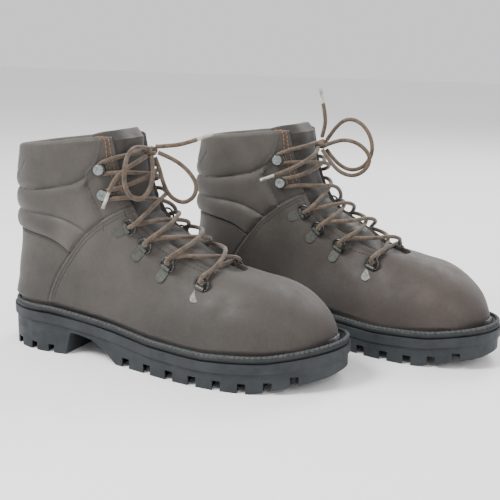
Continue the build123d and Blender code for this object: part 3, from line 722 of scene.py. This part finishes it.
UPPER, BASE, BASE_NORMALS = upper_grids()
UPPER_NORMALS = grid_normals(UPPER)
UPPER_FACES = grid_faces(*UPPER.shape[:2])
flat_upper = UPPER.reshape(-1, 3)
first = UPPER_FACES[len(UPPER_FACES) // 3]
corner = flat_upper[first]
across = np.cross(corner[1] - corner[0], corner[2] - corner[0])
turned = across @ UPPER_NORMALS.reshape(-1, 3)[first[0]] < 0
if turned:
    UPPER_FACES = UPPER_FACES[:, ::-1]
middles = flat_upper[UPPER_FACES].mean(axis=1)
in_sight = middles[:, 2] > seat_height(middles[:, 0]) - 3
UPPER_FACES, middles = UPPER_FACES[in_sight], middles[in_sight]
ahead_of, above_seam, in_front = upper_fields(middles[:, 0], middles[:, 2])
REGIONS = {
    "vamp": ahead_of > 0,
    "hook_facings": (ahead_of <= 0) & (in_front > 0),
    "collar": (ahead_of <= 0) & (in_front <= 0) & (above_seam > 0),
    "quarter": (ahead_of <= 0) & (in_front <= 0) & (above_seam <= 0),
}
# each region's material and slot
REGION_LOOKS = {
    "vamp": ("upper_leather", "upper_leather"),
    "hook_facings": ("facing_leather", "upper_leather"),
    "collar": ("collar_leather", "collar_leather"),
    "quarter": ("upper_leather", "upper_leather"),
}
LINING_TOE = 285.0
LINING_LOW = 24.0
SURFACE = BVHTree.FromPolygons([Vector(p) for p in flat_upper], [tuple(f) for f in UPPER_FACES])


def make_upper(foot):
    for name, chosen in REGIONS.items():
        look, slot = REGION_LOOKS[name]
        piece = add_part(f"{foot}_{name}_skin", UPPER, UPPER_FACES[chosen], foot, look, UPPER_NORMALS)
        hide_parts(f"{foot}_{name}", *([f"{foot}_stiffeners"] if name == "vamp" else []))
    lining = BASE - BASE_NORMALS * LINER_IN
    faces = grid_faces(*lining.shape[:2], flip=not turned)
    mid = lining.reshape(-1, 3)[faces].mean(axis=1)
    faces = faces[(mid[:, 0] < LINING_TOE) & (mid[:, 2] > LINING_LOW)]
    piece = add_part(f"{foot}_lining_skin", lining, faces, foot, "lining")
    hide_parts(f"{foot}_lining")


# ---- tongue --------------------------------------------------------------------------------------
TONGUE_MARGIN = 7.0
TONGUE_TOP = 8.0
TONGUE_UNDER = 2.6
TONGUE_THICK = 4.2
TONGUE_COLUMNS = 70
TONGUE_END = 7.4
TONGUE_LEAN = -0.6  # how far each row above the rim leans back
# each fold's place along the throat, depth and width
TONGUE_FOLDS = ((18, 1.1, 2.6), (31, 0.8, 2.0), (47, 0.9, 2.4), (66, 1.0, 2.6), (-20, 0.6, 2.0),
                (3, 0.7, 2.2))


def tongue_line(row):
    """The last's surface across the throat, with a margin under each edge."""
    line = []
    for side in (-1, 1):
        p = section_points(row, side, np.linspace(0.02, 1, 500))
        half = np.maximum(throat_half(p[:, 0], p[:, 2]), 14) + TONGUE_MARGIN
        inside = np.abs(p[:, 1] - row[4]) <= np.minimum(half, 31)
        line.append(p[inside])
    loop = np.vstack([line[0], line[1][::-1][1:]])
    run = np.concatenate([[0], np.cumsum(np.linalg.norm(np.diff(loop, axis=0), axis=1))])
    even = np.linspace(0, run[-1], TONGUE_COLUMNS)
    return np.stack([np.interp(even, run, loop[:, k]) for k in range(3)], axis=1)


def make_tongue(foot):
    rows = rows_at(even_rows(0, TONGUE_END, 1.4))
    face = np.array([tongue_line(row) for row in rows])
    top_rows = 9
    across = np.linspace(-1, 1, TONGUE_COLUMNS)
    up = face[0] - face[4]
    up /= np.linalg.norm(up, axis=1, keepdims=True)
    rise = TONGUE_TOP * (1 - 0.45 * np.abs(across) ** 3)
    above = [face[0] + up * (rise * k / top_rows)[:, None] + np.array([TONGUE_LEAN, 0, 0]) * k
             for k in range(top_rows, 0, -1)]
    face = np.concatenate([np.array(above), face])
    normals = np.cross(np.gradient(face, axis=1), np.gradient(face, axis=0))
    normals /= np.maximum(np.linalg.norm(normals, axis=2, keepdims=True), 1e-9)
    normals *= np.sign(normals[:, :, 0].sum() + normals[:, :, 2].sum())
    x, y, z = face[:, :, 0], face[:, :, 1], face[:, :, 2]
    s = (z - THROAT_ORIGIN[1] - x + THROAT_ORIGIN[0]) / math.sqrt(2)
    fold = sum(depth * np.exp(-((s - place - 0.12 * y + 1.5 * np.sin(y / 6)) / width) ** 2)
               for place, depth, width in TONGUE_FOLDS)
    edge = 1 - np.abs(across)[None, :] ** 6
    puff = 0.6 * np.sin(x / 9 + y / 7) * np.sin(z / 12 - y / 9)
    outer = face + normals * (-TONGUE_UNDER - fold + 0.6 * puff - 0.5)[:, :, None]
    inner = face - normals * (TONGUE_UNDER + 0.5 + TONGUE_THICK * (0.35 + 0.65 * edge))[:, :, None]
    loop = np.concatenate([outer, inner[:, ::-1], outer[:, :1]], axis=1)
    middle = (outer[0] + inner[0]) / 2
    middle = np.concatenate([middle, middle[::-1], middle[:1]])
    cap = [loop[0] * (1 - k) + middle * k + np.array([0, 0, raised])
           for k, raised in ((1, 1.3), (0.75, 1.1), (0.4, 0.7))]
    loop = np.concatenate([np.array(cap), loop])
    faces = grid_faces(*loop.shape[:2])
    piece = add_mesh(f"{foot}_tongue_pad", loop.reshape(-1, 3), faces, foot, "tongue_leather")
    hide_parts(f"{foot}_tongue")


# ---- stitching -----------------------------------------------------------------------------------
def offset_line(line, distance):
    """A side-view line moved to its left."""
    run = np.gradient(line, axis=0)
    run /= np.linalg.norm(run, axis=1, keepdims=True)
    return line + np.stack([-run[:, 1], run[:, 0]], axis=1) * distance


def stitch_ends(line, pitch, length):
    """Pairs of points for the stitches along a line of any dimension."""
    run = np.concatenate([[0], np.cumsum(np.linalg.norm(np.diff(line, axis=0), axis=1))])
    starts = np.arange(pitch / 2, run[-1] - length, pitch)
    return tuple(np.stack([np.interp(along, run, line[:, k]) for k in range(line.shape[1])], axis=1)
                 for along in (starts, starts + length))


def capsules(ends, radius):
    """Vertices and faces of little rounded bars between pairs of points."""
    verts, faces = [], []
    for a, b in ends:
        a, b = np.array(a), np.array(b)
        axis = b - a
        size = np.linalg.norm(axis)
        if size < 0.2:
            continue
        axis /= size
        side = np.cross(axis, (0.3, 0.2, 0.93))
        side /= np.linalg.norm(side)
        other = np.cross(axis, side)
        start = len(verts)
        for t, r in ((0, 0.35), (0.12, 0.85), (0.5, 1.0), (0.88, 0.85), (1, 0.35)):
            for k in range(6):
                angle = k * math.pi / 3
                out = side * math.cos(angle) + other * math.sin(angle)
                verts.append(a + (b - a) * t + radius * r * out)
        for ring in range(4):
            for k in range(6):
                p = start + ring * 6
                faces.append((p + k, p + (k + 1) % 6, p + 6 + (k + 1) % 6, p + 6 + k))
        faces.append(tuple(start + k for k in range(5, -1, -1)))
        faces.append(tuple(start + 24 + k for k in range(6)))
    return verts, faces


def on_surface(origin, direction, lift):
    hit, normal, _, _ = SURFACE.ray_cast(Vector(origin), Vector(direction))
    if hit is None:
        return None
    return np.array(hit) + np.array(normal) * (lift if normal.dot(Vector(direction)) < 0 else -lift)


def lies_flat(stitch, length):
    """True if both ends are on the leather and no edge parts them."""
    return all(p is not None for p in stitch) and np.linalg.norm(stitch[0] - stitch[1]) < 2 * length


def side_stitches(line, distance, pitch, length, lift=0.1):
    """Stitches beside a side-view seam, on both sides of the boot."""
    ends = []
    a, b = stitch_ends(offset_line(line, distance), pitch, length)
    for (ax, az), (bx, bz) in zip(a, b):
        for side in (-1, 1):
            stitch = [on_surface((x, side * 120, z), (0, -side, 0), lift)
                      for x, z in ((ax, az), (bx, bz))]
            if lies_flat(stitch, length) and stitch[0][2] > seat_height(stitch[0][0]) + 3:
                ends.append(stitch)
    return ends


def throat_stitches(distance, first, last, pitch, length, lift=0.1):
    """Stitches beside the throat's edge, seen square to its leaning plane."""
    s = np.linspace(first, last, 90)
    ends = []
    for side in (-1, 1):
        half = np.interp(s, THROAT_EDGE[:, 0], THROAT_EDGE[:, 1])
        line = np.stack([s, side * (half + distance)], axis=1)
        a, b = stitch_ends(line, pitch, length)
        for both in zip(a, b):
            stitch = []
            for along, y in both:
                x = THROAT_ORIGIN[0] - along / math.sqrt(2)
                z = THROAT_ORIGIN[1] + along / math.sqrt(2)
                stitch.append(on_surface((x + 90, y, z + 90), (-0.7071, 0, -0.7071), lift))
            if lies_flat(stitch, length):
                ends.append(stitch)
    return ends


def welt_stitches():
    """The lock stitches that lie along the welt, each a little across the run."""
    a, b = stitch_ends(offset_line(OUTLINE, 2.9), 4.2, 5.6)
    ends = []
    for p, q in zip(a, b):
        run = (q - p) / np.linalg.norm(q - p)
        lean = np.array([-run[1], run[0]]) * 0.8
        p, q = p - lean, q + lean
        ends.append(((p[0], p[1], seat_height(p[0]) + WELT_TOP + 0.5),
                     (q[0], q[1], seat_height(q[0]) + WELT_TOP + 0.3)))
    return ends


def make_welt(foot):
    """The welt's strip round the upper, its top edge a little rounded."""
    loop = np.vstack([OUTLINE, OUTLINE[:1]])
    section = ((9.0, 0.0), (1.2, 0.0), (1.1, 3.9), (1.7, 4.5), (9.0, 4.6), (9.0, 0.0))
    rows = []
    for inset, height in section:
        line = offset_line(loop, inset)
        rows.append(np.column_stack([line, seat_height(line[:, 0]) + height]))
    grid = np.array(rows)
    grid[:, -1] = grid[:, 0]
    faces = grid_faces(*grid.shape[:2])
    piece = add_mesh(f"{foot}_welt_strip", grid.reshape(-1, 3), faces, foot, "welt_rubber")
    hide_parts(f"{foot}_welt")


def make_stitching(foot):
    dark = side_stitches(QUARTER_LINE, 2.2, 3.0, 2.2) + side_stitches(QUARTER_LINE, 4.8, 3.0, 2.2)
    dark += side_stitches(COLLAR_LINE, -2.6, 3.0, 2.2) + side_stitches(FRONT_LINE, 1.6, 3.0, 2.2)
    dark += throat_stitches(3.0, -60, 34, 3.0, 2.2) + throat_stitches(5.6, -60, 34, 3.0, 2.2)
    rust = throat_stitches(2.2, 42, 92, 2.8, 2.2, 0.2) + throat_stitches(4.2, 42, 92, 2.8, 2.2, 0.2)
    for name, ends, radius, look in (("seam_stitches", dark, 0.36, "dark_thread"),
                                     ("facing_stitches", rust, 0.4, "rust_thread"),
                                     ("welt_stitches", welt_stitches(), 1.6, "welt_thread")):
        verts, faces = capsules(ends, radius)
        piece = add_mesh(f"{foot}_{name}", verts, faces, foot, look)


for foot in FEET:
    make_upper(foot)
    make_tongue(foot)
    make_welt(foot)
    make_stitching(foot)


# ---- CAD nodes -----------------------------------------------------------------------------------
NODE_LOOKS = {
    "heel_block": "sole_rubber", "outsole": "sole_rubber", "midsole": "sole_rubber",
    "welt": "welt_rubber", "insole_board": "board", "footbed": "footbed", "stiffeners": "board",
    "hooks": "hook_metal", "ring_clips": "clip_metal", "lace_tips": "lace_tip",
}
for name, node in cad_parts.items():
    kind = name.split("_", 1)[1]
    look = NODE_LOOKS.get(kind, "ring_metal" if kind.startswith("ring_") else "board")
    node.data.materials.clear()
    node.data.materials.append(MATERIALS[look])


# ---- light and floor -----------------------------------------------------------------------------
def area_light(name, place, aim, size, watts, color=(1, 1, 1)):
    data = bpy.data.lights.new(name, "AREA")
    data.shape = "DISK"
    data.size = size
    data.energy = watts
    data.color = color
    lamp = bpy.data.objects.new(name, data)
    bpy.context.scene.collection.objects.link(lamp)
    lamp.location = place
    lamp.rotation_euler = (Vector(aim) - Vector(place)).to_track_quat("-Z", "Y").to_euler()


def make_stage():
    mesh = bpy.data.meshes.new("floor")
    mesh.from_pydata([(-6, -6, 0), (6, -6, 0), (6, 6, 0), (-6, 6, 0)], [], [(0, 1, 2, 3)])
    mesh.materials.append(MATERIALS["floor"])
    floor = bpy.data.objects.new("floor", mesh)
    bpy.context.scene.collection.objects.link(floor)
    world = bpy.data.worlds.new("studio")
    world.use_nodes = True
    world.node_tree.nodes["Background"].inputs["Color"].default_value = (1, 1, 1, 1)
    world.node_tree.nodes["Background"].inputs["Strength"].default_value = 1.0
    bpy.context.scene.world = world
    area_light("key", (-0.7, -0.9, 1.4), (0, 0, 0.08), 0.7, 40)
    area_light("fill", (1.2, -0.8, 0.9), (0, 0, 0.08), 1.0, 12)
    area_light("back", (0.2, 1.3, 1.3), (0, 0, 0.1), 0.9, 20)


make_stage()
